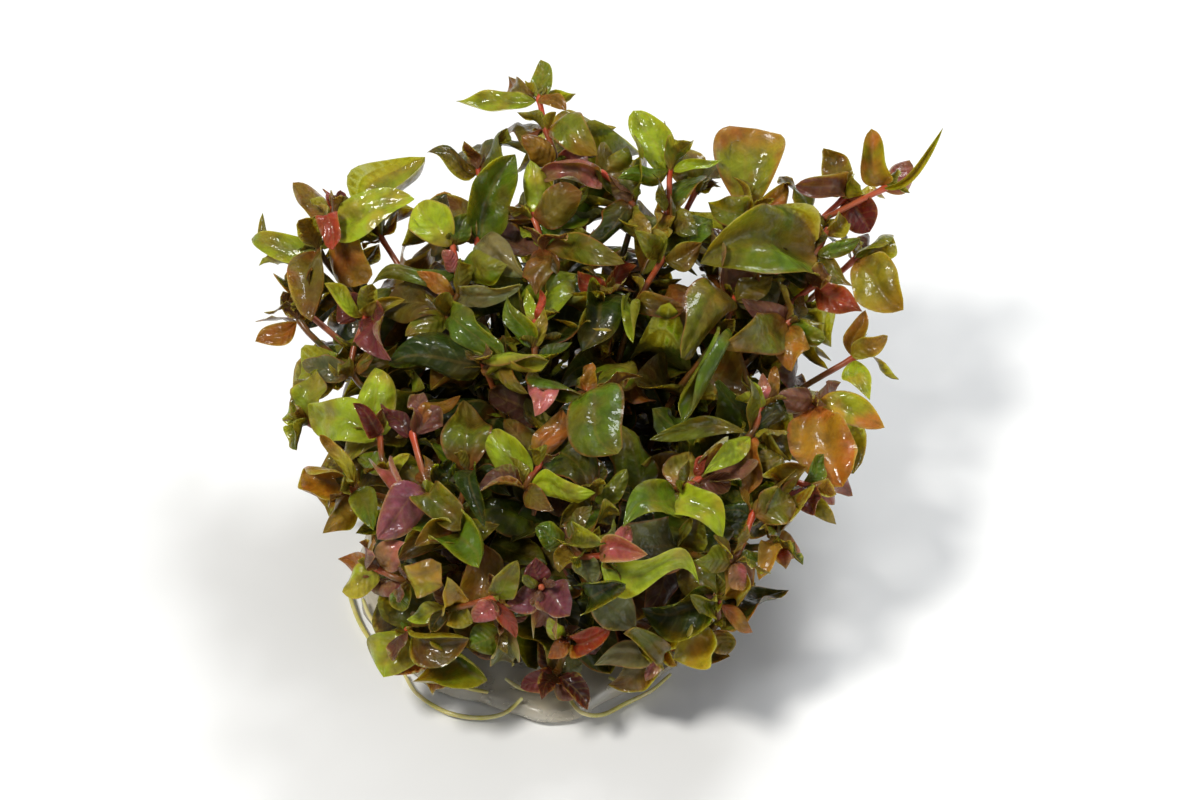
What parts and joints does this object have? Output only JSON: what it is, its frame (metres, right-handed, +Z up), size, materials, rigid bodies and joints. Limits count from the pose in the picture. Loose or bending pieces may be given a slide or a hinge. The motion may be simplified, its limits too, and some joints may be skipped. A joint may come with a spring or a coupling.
{
  "type": "aquatic plant clump",
  "caption": "Dense upright tuft of leafy red-stemmed aquatic shoots with ovate wavy leaves, growing from a thin translucent gel pad with loose fine roots round its front rim.",
  "frame": {"origin": "centre of the gel pad's flat underside, on the surface that the clump rests on", "axes": "+Z up along the stems, -Y towards the side that the picture shows, +X to the right in the picture"},
  "size_m": [0.0917, 0.0836, 0.05],
  "materials": {
    "gel": "soft translucent culture gel, wet",
    "root": "thin wet yellow-green root",
    "shoot": "wet living leaves from lime through olive and bronze to plum, on red-orange stems"
  },
  "bodies": {
    "root": {"gel_pad": "gel", "root_left_outer": "root", "root_left_inner": "root", "root_front_loop": "root", "root_front_inner": "root", "root_front_cross": "root", "root_right_loop": "root", "root_right_inner": "root", "shoot_left_rosette": "shoot", "shoot_far_left": "shoot", "shoot_left_plum": "shoot", "shoot_left_cup": "shoot", "shoot_top": "shoot", "shoot_top_red_stem": "shoot", "shoot_top_left_green": "shoot", "shoot_top_left_lime": "shoot", "shoot_top_spotted": "shoot", "shoot_top_right_big": "shoot", "shoot_right_cup": "shoot", "shoot_right_bronze": "shoot", "shoot_far_right": "shoot", "shoot_right_green": "shoot", "shoot_bud_shoot": "shoot", "shoot_centre_tube": "shoot", "shoot_centre_hollow": "shoot", "shoot_centre_green": "shoot", "shoot_mid_bronze": "shoot", "shoot_mid_green": "shoot", "shoot_mid_low": "shoot", "shoot_right_olive": "shoot", "shoot_right_bud": "shoot", "shoot_right_red_leaf": "shoot", "shoot_right_edge": "shoot", "shoot_right_wide": "shoot", "shoot_right_low_red": "shoot", "shoot_right_low_olive": "shoot", "shoot_right_foot": "shoot", "shoot_left_front": "shoot", "shoot_left_red_stem": "shoot", "shoot_left_textured": "shoot", "shoot_left_boat": "shoot", "shoot_front_glint": "shoot", "shoot_front_pink": "shoot", "shoot_low_gold": "shoot", "shoot_low_red_stem": "shoot", "shoot_low_mauve": "shoot", "shoot_low_bronze": "shoot", "shoot_low_green": "shoot", "shoot_low_centre": "shoot", "shoot_low_right": "shoot", "shoot_back_1": "shoot", "shoot_back_2": "shoot", "shoot_back_3": "shoot", "shoot_back_4": "shoot", "shoot_back_5": "shoot", "shoot_back_6": "shoot", "shoot_back_7": "shoot", "shoot_back_8": "shoot", "shoot_back_9": "shoot", "shoot_back_10": "shoot"}
  },
  "joints": []
}
